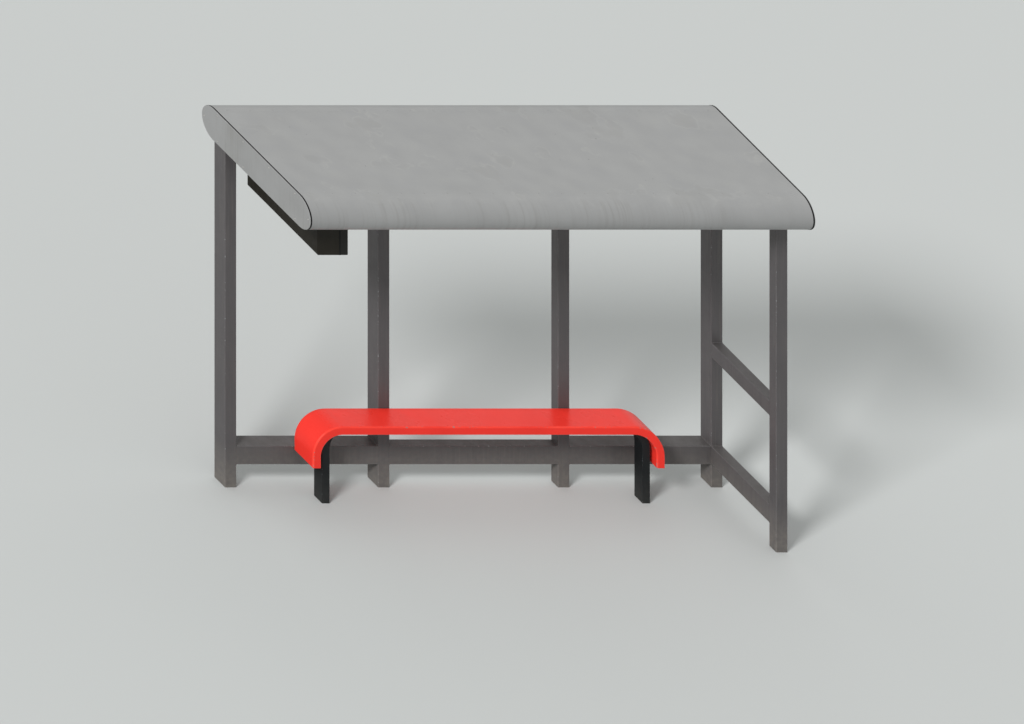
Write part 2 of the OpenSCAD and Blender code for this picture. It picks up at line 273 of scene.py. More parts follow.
def add_object(name, data):
    """A new object in the scene."""
    added = bpy.data.objects.new(name, data)
    bpy.context.scene.collection.objects.link(added)
    return added


def outer_inner(node, side):
    """Outer and inner corner of a node; side is -1 at the front or left, 1 at the rear or right."""
    low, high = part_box(node)
    return (low, high) if side < 0 else (high, low)


def mark_edges(bm):
    """Marks the narrow faces along round edges, where paint wears first and gets its painted
    highlight.
    """
    mark = bm.faces.layers.float.new(EDGE_MARK)
    for face in bm.faces:
        width = face.calc_area() / max(e.calc_length() for e in face.edges)
        face[mark] = float(width < EDGE_WIDTH)


def merged(parts):
    """One bmesh from several, which are used up."""
    whole = bmesh.new()
    for part in parts:
        mesh = bpy.data.meshes.new("part")
        part.to_mesh(mesh)
        part.free()
        whole.from_mesh(mesh)
        bpy.data.meshes.remove(mesh)
    return whole


def stood(bm, point, direction):
    """A bmesh, moved so that its origin is on a point and its Z runs in a direction."""
    turn = Vector(direction).to_track_quat("Z", "Y").to_matrix().to_4x4()
    return moved(bm, Matrix.Translation(point) @ turn)


def screw_head(point, direction, radius, height):
    """A low domed head with a sunk middle, standing on a surface."""
    bm = drum(sides=12, radius=radius, height=height, top_radius=0.62 * radius)
    sink_top(bm, rim=0.24 * radius, depth=0.6 * height)
    return stood(bm, point, direction)


def hex_bolt(point, direction, radius):
    """A hexagon bolt head with a chamfered top, on a round washer."""
    washer_height = 0.22 * radius
    head_height = 0.75 * radius
    chamfer = 0.12 * radius
    washer = drum(sides=24, radius=1.3 * radius, height=washer_height, top_radius=1.25 * radius)
    head = drum(sides=6, radius=radius, height=head_height)
    top = [e for e in head.edges if min(v.co.z for v in e.verts) > head_height / 2]
    soften(head, chamfer, segments=2, chosen=top)
    bmesh.ops.translate(head, vec=(0, 0, washer_height), verts=head.verts)
    return stood(merged([washer, head]), point, direction)


def weld_bead(start, end, sizes):
    """A rippled bead along a corner; half of it is sunk in the pieces that it joins."""
    steps_per_ripple = 3
    swell = 0.06
    tip = 0.45
    leg = sizes.weld_leg
    ripple = sizes.weld_ripple
    run = Vector(end) - Vector(start)
    half = run.length / 2
    bm = drum(sides=10, radius=leg, height=run.length)
    long_edges = [e for e in bm.edges if abs(e.verts[0].co.z - e.verts[1].co.z) > half]
    cuts = round(run.length / ripple * steps_per_ripple)
    bmesh.ops.subdivide_edges(bm, edges=long_edges, cuts=cuts, use_grid_fill=True)
    for vert in bm.verts:
        from_middle = vert.co.z - half
        wave = 1 - swell + swell * math.cos(math.tau * from_middle / ripple)
        taper = min(1.0, tip + (half - abs(from_middle)) / leg)
        vert.co.x *= wave * taper
        vert.co.y *= wave * taper
    return stood(bm, start, run)


def finish_piece(bm, name, material, replaced=(), edge_wear_and_highlight=True):
    """Turns a bmesh into a piece that rides on the frame; its round edges are marked for wear and
    highlight.
    """
    if edge_wear_and_highlight:
        mark_edges(bm)
    mesh = bpy.data.meshes.new(name)
    bm.to_mesh(mesh)
    bm.free()
    mesh.shade_smooth()
    mesh.set_sharp_from_angle(angle=SHARP)
    mesh.materials.append(material)
    piece = add_object(name, mesh)
    weighted = piece.modifiers.new("flat faces stay flat", "WEIGHTED_NORMAL")
    weighted.keep_sharp = True
    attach(piece, "root")
    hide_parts(*replaced)


def finish_copy(node, suffix, width, material, segments=3):
    """Replaces a node by a copy with its loose triangles joined up and its sharp edges rounded."""
    bm = bmesh.new()
    bm.from_mesh(NODES[node].data)
    bmesh.ops.remove_doubles(bm, verts=bm.verts, dist=MERGE)
    bmesh.ops.dissolve_limit(bm, angle_limit=FLAT, verts=bm.verts, edges=bm.edges)
    soften(bm, width, segments)
    finish_piece(bm, node + suffix, material, [node])


# Materials


def shade(colour, factor):
    """A colour made lighter or darker, with full alpha."""
    return tuple(min(1.0, c * factor) for c in colour[:3]) + (1.0,)


class Finish:
    """A material in the making, with the colour and roughness that its layers give so far"""

    def __init__(self, name):
        self.material = bpy.data.materials.new(name)
        self.material.use_nodes = True
        self.tree = self.material.node_tree
        self.tree.nodes.clear()
        self.shader = self.add("BsdfPrincipled")
        self.add("OutputMaterial", self.shader)
        self.place = self.add("TexCoord").outputs["Object"]
        self.colour = None
        self.roughness = None

    def feed(self, socket, value):
        """Gives a socket a value, a colour as #rrggbb, another socket or a node's first output."""
        if isinstance(value, str):
            value = (*linear(value), 1.0)
        if isinstance(value, bpy.types.Node):
            value = next(output for output in value.outputs if output.enabled)
        if isinstance(value, bpy.types.NodeSocket):
            self.tree.links.new(value, socket)
        else:
            socket.default_value = value

    def add(self, kind, *inputs, **settings):
        """Adds a node with its settings; the inputs feed the sockets that it shows, in order."""
        node = self.tree.nodes.new("ShaderNode" + kind)
        for name, value in settings.items():
            setattr(node, name, value)
        shown = [socket for socket in node.inputs if socket.enabled]
        for socket, value in zip(shown, inputs):
            self.feed(socket, value)
        return node

    def vary(self, pattern, colours, roughness):
        """Starts the finish: a pattern mixes two colours and moves between two roughnesses."""
        self.colour = self.add("Mix", pattern, *colours, data_type="RGBA")
        self.roughness = self.add("MapRange", pattern, *NOISE_SPREAD, *roughness)

    def cover(self, film, *amounts, roughness):
        """Lays a film of another colour over the finish, by the product of its amounts."""
        amount = amounts[0]
        for other in amounts[1:]:
            amount = self.add("Math", amount, other, operation="MULTIPLY")
        self.colour = self.add("Mix", amount, self.colour, film, data_type="RGBA")
        self.roughness = self.add("Mix", amount, self.roughness, roughness)

    def done(self, **sockets):
        """The finished material, with the shader's other sockets set by name."""
        sockets.update({"Base Color": self.colour, "Roughness": self.roughness})
        for name, value in sockets.items():
            self.feed(self.shader.inputs[name], value)
        return self.material


def grain(finish, size, detail=2.0, stretch=(1, 1, 1), turn=0.0):
    """Noise with features of about size mm, with finer detail, stretched and turned about Z."""
    lengths = tuple(size * MILLIMETRE * s for s in stretch)
    scaled = finish.add(
        "Mapping", finish.place, (0, 0, 0), (0, 0, turn), lengths, vector_type="TEXTURE"
    )
    return finish.add("TexNoise", scaled, 1.0, detail, NOISE_ROUGHNESS)


def facing(finish, axis):
    """How far the surface looks along an axis: 1 along it, 0 across it and -1 against it."""
    return finish.add("SeparateXYZ", finish.add("NewGeometry").outputs["Normal"]).outputs[axis]


def facing_up(finish):
    """1 where the surface lies flat under the sky, 0 on its sides and underneath."""
    return finish.add("MapRange", facing(finish, "Z"), 0.6, 0.95, 0.0, 1.0)


def facing_ends(finish):
    """1 on faces square to the shelter's length, 0 on faces along it."""
    return finish.add("Math", facing(finish, "X"), operation="ABSOLUTE")


def upright(finish):
    """1 on sides and rounds that rain runs down, 0 on flat tops and undersides."""
    level = finish.add("Math", facing(finish, "Z"), operation="ABSOLUTE")
    return finish.add("MapRange", level, 0.8, 0.98, 1.0, 0.0)


def powder_coat(name, colour, roughness, peel, depth, clouds=0.1, sheen=0.35):
    """Baked polyester powder: a satin skin, slightly uneven in tone, with orange peel in mm."""
    coat = Finish(name)
    tone = coat.add("MapRange", grain(coat, 220, 4.0), *NOISE_SPREAD, 0.0, 1.0)
    light = shade(colour, 1 + clouds / 2)
    coat.colour = coat.add("Mix", tone, shade(colour, 1 - clouds / 2), light, data_type="RGBA")
    coat.roughness = coat.add(
        "MapRange", grain(coat, 60, 4.0), *NOISE_SPREAD, roughness - 0.06, roughness + 0.08
    )
    strength = 0.6
    skin = coat.add("Bump", strength, depth * MILLIMETRE)
    coat.feed(skin.inputs["Height"], grain(coat, peel, 1.0))
    for socket, value in (("Normal", skin), ("IOR", PAINT_IOR), ("Specular IOR Level", sheen)):
        coat.feed(coat.shader.inputs[socket], value)
    return coat


def worn_and_highlit_edges(coat, rubbed_highlight, bare, chip_size=11, chip_start=0.56):
    """Edges: lighter in stretches as wear and painted highlight; chipped to the metal in spots."""
    edge = coat.add("Attribute", attribute_name=EDGE_MARK).outputs["Fac"]
    stretches = coat.add("MapRange", grain(coat, 120, 4.0), 0.35, 0.65, 0.25, 0.9)
    # Rubbed paint: lighter along the edges as wear, and also as a painted highlight that marks
    # them.
    coat.cover(rubbed_highlight, edge, stretches, roughness=0.36)
    spread = coat.add("MapRange", grain(coat, 300), 0.4, 0.7, 0.12, 0.0)
    chips = coat.add("Math", grain(coat, chip_size, 3.0), spread, operation="SUBTRACT")
    chips = coat.add("MapRange", chips, chip_start, chip_start + 0.03, 0.0, 1.0)
    coat.cover(bare, edge, chips, roughness=0.5)


def foot_dust(coat, height, dust, amount):
    """Splashed road dust, drier and duller than the paint, which thins out above the ground."""
    above_ground = coat.add("SeparateXYZ", coat.place).outputs["Z"]
    fade = coat.add("MapRange", above_ground, 0.0, height * MILLIMETRE, amount, 0.0)
    speckle = coat.add("MapRange", grain(coat, 30, 6.0), 0.35, 0.68, 0.45, 1.0)
    coat.cover(dust, fade, speckle, roughness=0.85)


def painted_top_shade(coat, dust, amount):
    """Painted shade: a dark, uneven film on faces that look up, against the extra light on tops."""
    film = coat.add("MapRange", grain(coat, 50, 5.0), *NOISE_SPREAD, 0.3 * amount, amount)
    # The dust argument holds the colour of this painted shade.
    coat.cover(dust, facing_up(coat), film, roughness=0.8)


def rain_streaks(coat, width, stretch, tint, amount):
    """Thin films that rain has drawn out along the way that it runs."""
    streak = coat.add("MapRange", grain(coat, width, 4.0, stretch), 0.48, 0.72, 0.0, amount)
    patch = coat.add("MapRange", grain(coat, 500), 0.35, 0.65, 0.2, 1.0)
    coat.cover(tint, streak, patch, roughness=0.7)


def scratches(coat, where, width, stretch, tint, amount, turn=0.0):
    """Fine lines rubbed into the coat here and there, drawn about 1 mm wide so that they show."""
    lines = coat.add("MapRange", grain(coat, width, 2.0, stretch, turn), 0.67, 0.71, 0.0, amount)
    patch = coat.add("MapRange", grain(coat, 250), 0.42, 0.58, 0.1, 1.0)
    coat.cover(tint, where, lines, patch, roughness=0.6)


def dried_puddles(coat, where):
    """Films that puddles have left, each inside a thin pale shore with breaks in it."""
    water = grain(coat, 300, 3.0)
    shoreline = 0.58
    film = coat.add("MapRange", water, shoreline, shoreline + 0.05, 0.0, 0.1)
    coat.cover("#7f7d77", where, film, roughness=0.6)
    from_shore = coat.add("Math", water, shoreline, operation="SUBTRACT")
    from_shore = coat.add("Math", from_shore, operation="ABSOLUTE")
    shore = coat.add("MapRange", from_shore, 0.0, 0.016, 1.0, 0.0)
    breaks = coat.add("MapRange", grain(coat, 70, 3.0), 0.4, 0.6, 0.0, 0.1)
    coat.cover("#c4c2bc", where, shore, breaks, roughness=0.8)


def specks(coat, where, spacing):
    """Specks of dirt of many sizes, in about a third of the cells that lie spacing mm apart."""
    cells = coat.add("TexVoronoi", coat.place, 1 / (spacing * MILLIMETRE))
    draw = coat.add("SeparateXYZ", cells.outputs["Color"])
    chosen = coat.add("MapRange", draw, 0.7, 0.72, 0.0, 1.0)
    reach = coat.add("MapRange", draw.outputs["Y"], 0.0, 1.0, 0.03, 0.1)
    speck = coat.add("MapRange", cells, 0.01, reach, 0.6, 0.0)
    coat.cover("#5d5b52", where, speck, chosen, roughness=0.8)


def coated_frame_steel(colour):
    """Dark warm grey powder coat on steel tube: rain streaks, dust low down, worn edges with
    painted highlight.
    """
    coat = powder_coat("powder coated frame steel", colour, roughness=0.42, peel=3, depth=0.15)
    rain_streaks(coat, width=11, stretch=(1, 1, 28), tint="#77716b", amount=0.2)
    rain_streaks(coat, width=19, stretch=(1, 1, 16), tint="#353233", amount=0.2)
    scratches(coat, upright(coat), width=1.6, stretch=(34, 34, 1), tint="#8b8682", amount=0.35)
    # Edges rubbed lighter: wear, and a painted highlight along them.
    worn_and_highlit_edges(coat, rubbed_highlight=shade(colour, 1.35), bare="#86878a")
    # Painted shade on faces that look up: a dark film that keeps the tubes' tops from showing
    # lighter than their sides.
    painted_top_shade(coat, dust="#3f3c39", amount=0.45)
    foot_dust(coat, height=300, dust="#8a847b", amount=0.5)
    return coat.done()


def coated_roof_sheet(colour):
    """Mid grey powder coat on aluminium: dust and dried puddles on top, runs down the rounds."""
    coat = powder_coat(
        "powder coated roof sheet", colour, roughness=0.44, peel=2.5, depth=0.1, clouds=0.07
    )
    up = facing_up(coat)
    dust = coat.add("MapRange", grain(coat, 120, 5.0), 0.35, 0.7, 0.0, 0.14)
    coat.cover("#b4b3af", up, dust, roughness=0.75)
    dried_puddles(coat, up)
    washed_grime = "#77756f"
    patch = coat.add("MapRange", grain(coat, 350), 0.4, 0.65, 0.15, 1.0)
    run = coat.add("MapRange", grain(coat, 20, 3.0, (1, 30, 30)), 0.48, 0.75, 0.0, 0.45)
    coat.cover(washed_grime, upright(coat), run, patch, roughness=0.7)
    drip = coat.add("MapRange", grain(coat, 16, 3.0, (1, 1, 16)), 0.45, 0.72, 0.0, 0.3)
    coat.cover(washed_grime, facing_ends(coat), drip, patch, roughness=0.7)
    specks(coat, up, spacing=60)
    # Edges rubbed lighter: wear, and a painted highlight along them.
    worn_and_highlit_edges(coat, rubbed_highlight=shade(colour, 1.15), bare="#c2c3c4")
    return coat.done()


def coated_seat_steel(colour):
    """Bright red powder coat: glossier where people sit, finely scratched, chipped at its edges."""
    coat = powder_coat(
        "powder coated seat steel",
        colour,
        roughness=0.36,
        peel=3,
        depth=0.1,
        clouds=0.08,
        sheen=0.2,
    )
    up = facing_up(coat)
    scratched = "#ff6a5a"
    polish = coat.add("MapRange", grain(coat, 250, 3.0), 0.35, 0.6, 0.0, 0.8)
    coat.cover(shade(colour, 0.94), up, polish, roughness=0.22)
    scratches(coat, up, width=1.4, stretch=(60, 1, 60), tint=scratched, amount=0.4, turn=0.12)
    scratches(coat, up, width=1.6, stretch=(1, 40, 40), tint=scratched, amount=0.35, turn=0.5)
    scratches(coat, upright(coat), width=1.4, stretch=(60, 60, 1), tint=scratched, amount=0.3)
    # Edges rubbed lighter: wear, and a painted highlight along them.
    worn_and_highlit_edges(coat, rubbed_highlight="#f7483b", bare="#8d8480", chip_size=13)
    # The seat gets darker towards its back edge, where it meets the posts, under a dark red film.
    seat_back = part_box("bench_seat")[1].y
    back_darkening_reach = 26 * MILLIMETRE
    depth = coat.add("SeparateXYZ", coat.place).outputs["Y"]
    behind = coat.add("MapRange", depth, seat_back - back_darkening_reach, seat_back, 0.0, 0.25)
    back_darkening = coat.add("MapRange", grain(coat, 30, 5.0), 0.35, 0.65, 0.2, 1.0)
    coat.cover("#6f2a22", behind, back_darkening, roughness=0.7)
    return coat.done()


def coated_leg_steel(colour):
    """Black powder coat on the bench legs: scuffed by shoes, dusty near the ground."""
    coat = powder_coat(
        "powder coated leg steel", colour, roughness=0.48, peel=3, depth=0.15, clouds=0.2
    )
    scratches(coat, upright(coat), width=1.6, stretch=(22, 22, 1), tint="#6d6f70", amount=0.25)
    # Edges rubbed lighter: wear, and a painted highlight along them.
    worn_and_highlit_edges(coat, rubbed_highlight=shade(colour, 2.2), bare="#6c6e70", chip_size=9, chip_start=0.59)
    foot_dust(coat, height=200, dust="#5b5a56", amount=0.25)
    return coat.done()


def coated_case_sheet(name, colour):
    """Near black powder coat on aluminium sheet: finely textured, with a thin dry film of dust."""
    coat = powder_coat(name, colour, roughness=0.5, peel=2, depth=0.2, clouds=0.12, sheen=0.2)
    rain_streaks(coat, width=20, stretch=(1, 1, 9), tint="#4a4843", amount=0.12)
    # Edges rubbed lighter: wear, and a painted highlight along them.
    worn_and_highlit_edges(coat, rubbed_highlight=shade(colour, 2.0), bare="#8b8c8c", chip_size=8)
    return coat.done()


def extruded_aluminium():
    """Mill finish aluminium: dull metal with fine die lines."""
    metal = Finish("mill finish aluminium")
    metal.vary(grain(metal, 4, 2.0, (40, 40, 1)), ("#b9babb", "#cfd0d1"), roughness=(0.34, 0.5))
    return metal.done(Metallic=1.0)


def stainless_steel():
    """Stainless fixings: bright grey metal, lightly dulled outdoors."""
    metal = Finish("stainless steel")
    metal.vary(grain(metal, 4, 3.0), ("#a9a7a3", "#c9c8c4"), roughness=(0.25, 0.42))
    return metal.done(Metallic=1.0)


def seal_rubber():
    """Black EPDM rubber: matt, with a slight grey bloom."""
    rubber = Finish("black EPDM rubber")
    rubber.vary(grain(rubber, 12, 4.0), ("#0b0b0b", "#1a1a19"), roughness=(0.7, 0.85))
    return rubber.done(**{"Specular IOR Level": 0.2})


def tinted_glass():
    """Grey tinted laminated glass: clear gloss over a dark view inside."""
    glass = Finish("tinted glass")
    glass.vary(grain(glass, 50, 4.0), ("#5c6064", "#666a6e"), roughness=(0.02, 0.06))
    return glass.done(**{"Transmission Weight": 1.0, "IOR": GLASS_IOR})


def lamp_matrix():
    """A switched-off matrix of lamps: lenses in rows on black epoxy, drawn 8 mm apart to show."""
    panel = Finish("unlit lamp matrix")
    cells = panel.add("TexVoronoi", panel.place, 1 / (8 * MILLIMETRE))
    panel.feed(cells.inputs["Randomness"], 0.0)
    lens = panel.add("MapRange", cells, 0.3, 0.38, 1.0, 0.0)
    panel.colour = panel.add("Mix", lens, "#0b0b0c", "#2f2c27", data_type="RGBA")
    panel.roughness = panel.add("MapRange", lens, 0.0, 1.0, 0.6, 0.25)
    return panel.done()


def plain_floor(colour):
    """Pale matt studio floor."""
    floor = Finish("plain floor")
    floor.colour = (*colour, 1)
    floor.roughness = 1.0
    return floor.done(**{"Specular IOR Level": 0.0})


# Operators


class SHELTER_OT_stage(bpy.types.Operator):
    """Sets the plain pale floor, the soft light and the camera of the oblique view"""

    bl_idname = "shelter.make_stage"
    bl_label = "Make Stage"

    floor_radius = 100.0
    view_depth = 0.7071
    view_centre = Vector((0.0215, 0.0, 1.047))
    view_distance = 10.0

    def execute(self, context):
        colours = context.scene.shelter_colours
        self.make_floor(colours.floor)
        self.make_world(context, colours.air)
        self.make_sun("key light", towards=(-0.62, -0.42, 0.55), strength=2.3, spread=12)
        self.make_sun("back light", towards=(0.6, 0.5, 0.6), strength=0.4, spread=60)
        self.make_camera(context)
        context.scene.view_settings.view_transform = "Standard"
        return {"FINISHED"}

    def make_floor(self, colour):
        bm = bmesh.new()
        bmesh.ops.create_circle(bm, cap_ends=True, segments=64, radius=self.floor_radius)
        mesh = bpy.data.meshes.new("floor")
        bm.to_mesh(mesh)
        bm.free()
        mesh.materials.append(plain_floor(colour))
        add_object("floor", mesh)

    def make_world(self, context, colour):
        world = bpy.data.worlds.new("pale air")
        world.use_nodes = True
        world.node_tree.nodes["Background"].inputs["Color"].default_value = (*colour, 1)
        context.scene.world = world

    def make_sun(self, name, towards, strength, spread):
        """A sun that stands in the given direction; spread is its width in degrees."""
        data = bpy.data.lights.new(name, "SUN")
        data.energy = strength
        data.angle = math.radians(spread)
        sun = add_object(name, data)
        sun.rotation_euler = Vector(towards).to_track_quat("Z", "Y").to_euler()

    def make_camera(self, context):
        """The view keeps X and Z true and draws depth aslant, so the camera's frame is sheared."""
        data = bpy.data.cameras.new("camera")
        data.type = "ORTHO"
        data.ortho_scale = PICTURE_WIDTH * METRES_PER_PIXEL
        camera = add_object("camera", data)
        camera.parent = add_object("camera rig", None)
        back = Vector((-self.view_depth, -1.0, self.view_depth))
        place = self.view_centre + back * self.view_distance
        back.normalize()
        camera.matrix_parent_inverse = Matrix(
            (
                (1, 0, back.x, place.x),
                (0, 0, back.y, place.y),
                (0, 1, back.z, place.z),
                (0, 0, 0, 1),
            )
        )
        context.scene.camera = camera


class SHELTER_OT_posts(bpy.types.Operator):
    """Makes the five posts as coated box-section tubes with eased rims and weep holes"""

    bl_idname = "shelter.make_posts"
    bl_label = "Make Posts"

    def execute(self, context):
        sizes = context.scene.shelter_sizes
        steel = coated_frame_steel(context.scene.shelter_colours.frame_paint)
        for node in POSTS:
            finish_copy(node, "_tube", sizes.plate_edge, steel)
        return {"FINISHED"}


class SHELTER_OT_rails(bpy.types.Operator):
    """Makes the low rails, the side rails and the welds that join them to the posts"""

    bl_idname = "shelter.make_rails"
    bl_label = "Make Rails"

    ground_height = 0.0003
    ground_lap = 0.0015
    fillet_start = 0.001

    def execute(self, context):
        sizes = context.scene.shelter_sizes
        steel = bpy.data.materials["powder coated frame steel"]
        for axis, nodes in (("X", REAR_RAILS), ("Y", SIDE_RAILS)):
            for node in nodes:
                bm = box_bar(*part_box(node), axis, sizes.tube_corner)
                finish_piece(bm, node + "_tube", steel, [node])
        welds = [*self.rear_welds(sizes), *self.side_welds(sizes)]
        finish_piece(merged(welds), "rail_welds", steel, edge_wear_and_highlight=False)
        return {"FINISHED"}

    def rear_welds(self, sizes):
        """Fillets over and under each end of the rear rails, and a ground weld in front."""
        corner = sizes.tube_corner
        for bay, node in enumerate(REAR_RAILS):
            low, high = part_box(node)
            for x, post in ((low.x, REAR_POSTS[bay]), (high.x, REAR_POSTS[bay + 1])):
                back = min(high.y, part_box(post)[1].y) - corner
                for z in (low.z, high.z):
                    start = (x, low.y + self.fillet_start, z)
                    yield weld_bead(start, (x, back, z), sizes)
                inward = 1 if x == low.x else -1
                outer = x - inward * (corner + self.ground_lap)
                inner = x + inward * self.ground_lap
                yield self.ground_weld(
                    (outer, low.y - self.ground_height, low.z + corner / 2),
                    (inner, low.y + corner, high.z - corner / 2),
                )

    def side_welds(self, sizes):
        """Fillets over and under each end of the side rails, and ground welds at their sides."""
        corner = sizes.tube_corner
        for node in SIDE_RAILS:
            low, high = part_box(node)
            for y in (low.y, high.y):
                for z in (low.z, high.z):
                    start = (low.x + self.fillet_start, y, z)
                    end = (high.x - self.fillet_start, y, z)
                    yield weld_bead(start, end, sizes)
                inward = 1 if y == low.y else -1
                outer = y - inward * (corner + self.ground_lap)
                inner = y + inward * self.ground_lap
                for x, side in ((low.x, 1), (high.x, -1)):
                    yield self.ground_weld(
                        (x - side * self.ground_height, outer, low.z + corner / 2),
                        (x + side * corner, inner, high.z - corner / 2),
                    )

    def ground_weld(self, first, second):
        """Weld ground nearly flush over the groove between a rail's end and a post's corner."""
        low = Vector(map(min, first, second))
        high = Vector(map(max, first, second))
        return block(low, high, self.ground_height, segments=2)


class SHELTER_OT_post_heads(bpy.types.Operator):
    """Makes the head plates with their ribs, welds and the bolts that hold them to the roof"""

    bl_idname = "shelter.make_post_heads"
    bl_label = "Make Post Heads"

    bolt_reach = (0.03, 0.065)
    rib_thickness = 0.01

    def execute(self, context):
        sizes = context.scene.shelter_sizes
        steel = bpy.data.materials["powder coated frame steel"]
        bolts = []
        welds = []
        for node, post in zip(POST_HEADS, POSTS):
            finish_copy(node, "_plate", sizes.plate_edge, steel)
            post_low, post_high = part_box(post)
            centre = (post_low.x + post_high.x) / 2
            for side in (-1, 1):
                for reach in self.bolt_reach:
                    point = (centre + side * sizes.bolt_side, post_low.y - reach, post_high.z)
                    bolts.append(hex_bolt(point, (0, 0, -1), sizes.bolt_radius))
                welds += self.welds(side, centre, post_low, post_high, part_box(node)[0].z, sizes)
        finish_piece(merged(bolts), "post_head_bolts", stainless_steel())
        finish_piece(merged(welds), "post_head_welds", steel, edge_wear_and_highlight=False)
        return {"FINISHED"}

    def welds(self, side, centre, low, high, rib_foot, sizes):
        """Fillets on one side of a post: tube to plate beside and in front, and rib to tube."""
        corner = sizes.tube_corner
        edge = low.x if side < 0 else high.x
        rib = centre + side * self.rib_thickness / 2
        runs = (
            ((edge, low.y + corner, high.z), (edge, high.y - corner, high.z)),
            ((rib, low.y, high.z), (edge - side * corner, low.y, high.z)),
            ((rib, low.y, rib_foot), (rib, low.y, high.z)),
        )
        for start, end in runs:
            yield weld_bead(start, end, sizes)


class SHELTER_OT_roof_frame(bpy.types.Operator):
    """Gives the beams and edge rails inside the roof their mill finish"""

    bl_idname = "shelter.finish_roof_frame"
    bl_label = "Finish Roof Frame"

    def execute(self, context):
        aluminium = extruded_aluminium()
        for node in (*ROOF_BEAMS, *EDGE_RAILS):
            for slot in NODES[node].material_slots:
                slot.material = aluminium
        return {"FINISHED"}


class SHELTER_OT_roof_skin(bpy.types.Operator):
    """Makes the roof's top sheet, its two bent nosings and the rivets that hold them"""

    bl_idname = "shelter.make_roof_skin"
    bl_label = "Make Roof Skin"

    nosing_steps = 48
    rivet_height = 0.0015
    rivet_inset = 0.015

    def execute(self, context):
        sizes = context.scene.shelter_sizes
        paint = coated_roof_sheet(context.scene.shelter_colours.roof_paint)
        top = block(*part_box("roof_top"), sizes.sheet_edge, segments=2)
        finish_piece(top, "roof_top_sheet", paint, ["roof_top"])
        for side, node in ((-1, "roof_nosing_front"), (1, "roof_nosing_rear")):
            bm = self.nosing(node, side, sizes)
            finish_piece(bm, node + "_sheet", paint, [node])
        finish_piece(merged(self.rivets(sizes)), "roof_rivets", paint, edge_wear_and_highlight=False)
        return {"FINISHED"}

    def nosing(self, node, side, sizes):
        """A strip bent half round; it starts and ends in the flat lips beside top and soffit."""
        low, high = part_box(node)
        outer, inner = outer_inner(node, side)
        radius = (high.z - low.z) / 2
        lip_y = inner.y
        bend_y = outer.y - side * radius
        centre = Vector(((low.x + high.x) / 2, bend_y, low.z + radius))
        bm = bmesh.new()
        faces = rounded_face(bm, high.x - low.x, sizes.sheet, sizes.sheet_edge, steps=2)
        start = Vector((centre.x, lip_y, high.z - sizes.sheet / 2))
        moved(bm, Matrix.Translation(start) @ Matrix.Rotation(QUARTER_TURN, 4, "X"))
        faces = extrude(bm, faces, (0, bend_y - lip_y, 0))
        faces = bend(bm, faces, centre, "X", -side * HALF_TURN, self.nosing_steps)
        extrude(bm, faces, (0, lip_y - bend_y, 0))
        return bm

    def rivets(self, sizes):
        """Rows of low rivets through the nosings' lips, above and below."""
        low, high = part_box("roof_top")
        count = round((high.x - low.x) / sizes.rivet_spacing)
        pitch = (high.x - low.x) / count
        for node, side in (("roof_nosing_front", -1), ("roof_nosing_rear", 1)):
            nosing_low, nosing_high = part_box(node)
            y = outer_inner(node, side)[1].y + side * self.rivet_inset
            for i in range(count):
                x = low.x + (i + 0.5) * pitch
                for z, up in ((nosing_high.z, 1), (nosing_low.z, -1)):
                    yield screw_head((x, y, z), (0, 0, up), sizes.rivet_radius, self.rivet_height)


class SHELTER_OT_roof_ends(bpy.types.Operator):
    """Makes the roof's end plates with their inner lips, black seals and screws"""

    bl_idname = "shelter.make_roof_ends"
    bl_label = "Make Roof Ends"

    round_steps = 24
    lip_gap = 0.0003
    seal_wall = 0.0005
    screw_inset = 0.02
    screw_shares = (-0.9, -0.3, 0.3, 0.9)

    def execute(self, context):
        sizes = context.scene.shelter_sizes
        paint = bpy.data.materials["powder coated roof sheet"]
        steel = bpy.data.materials["stainless steel"]
        rubber = seal_rubber()
        screws = []
        seals = []
        for side, node in ((-1, "roof_end_left"), (1, "roof_end_right")):
            low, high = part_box(node)
            skin = outer_inner("roof_top", side)[0].x
            outside, inside = (corner.x for corner in outer_inner(node, side))
            centre = (low + high) / 2
            size = high - low
            plate = self.outline(centre, size, skin, outside - skin)
            rim = [e for e in plate.edges if all(abs(v.co.x - outside) < MERGE for v in e.verts)]
            soften(plate, sizes.plate_edge, chosen=rim)
            self.add_lip(plate, skin, inside, sizes.sheet)
            finish_piece(plate, node + "_plate", paint, [node])
            proud = sizes.seal_proud
            wall = proud + self.seal_wall
            seals.append(self.outline(centre, size, skin, -side * sizes.seal_width, proud, wall))
            screws += self.screws(centre, size, outside, side, sizes)
        finish_piece(merged(seals), "roof_end_seals", rubber)
        finish_piece(merged(screws), "roof_end_screws", steel)
        return {"FINISHED"}

    def add_lip(self, plate, skin, inside, sheet):
        """A lip round the back of a plate, which fits inside the nosings."""
        back = [f for f in plate.faces if all(abs(v.co.x - skin) < MERGE for v in f.verts)]
        for inset in (sheet + self.lip_gap, sheet):
            ring = bmesh.ops.inset_region(plate, faces=back, thickness=inset, use_even_offset=True)
        extrude(plate, ring["faces"], (inside - skin, 0, 0))

    def outline(self, centre, size, x, length, proud=0, wall=0):
        """The roof's outline at x, made larger by proud, as a plate or a ring of some length."""
        width = size.y + 2 * proud
        height = size.z + 2 * proud
        start = (x, centre.y, centre.z)
        return slab(start, (width, height), height / 2, self.round_steps, length, wall)

    def screws(self, centre, size, x, side, sizes):
        """Screws in from the rim: four along the top, four along the bottom, one at each nose."""
        reach = size.z / 2 - self.screw_inset
        flat = (size.y - size.z) / 2
        places = [(share * flat, up * reach) for share in self.screw_shares for up in (-1, 1)]
        places += [(nose * (flat + reach), 0) for nose in (-1, 1)]
        for y, z in places:
            point = (x, centre.y + y, centre.z + z)
            yield screw_head(point, (side, 0, 0), sizes.screw_radius, SCREW_HEIGHT)


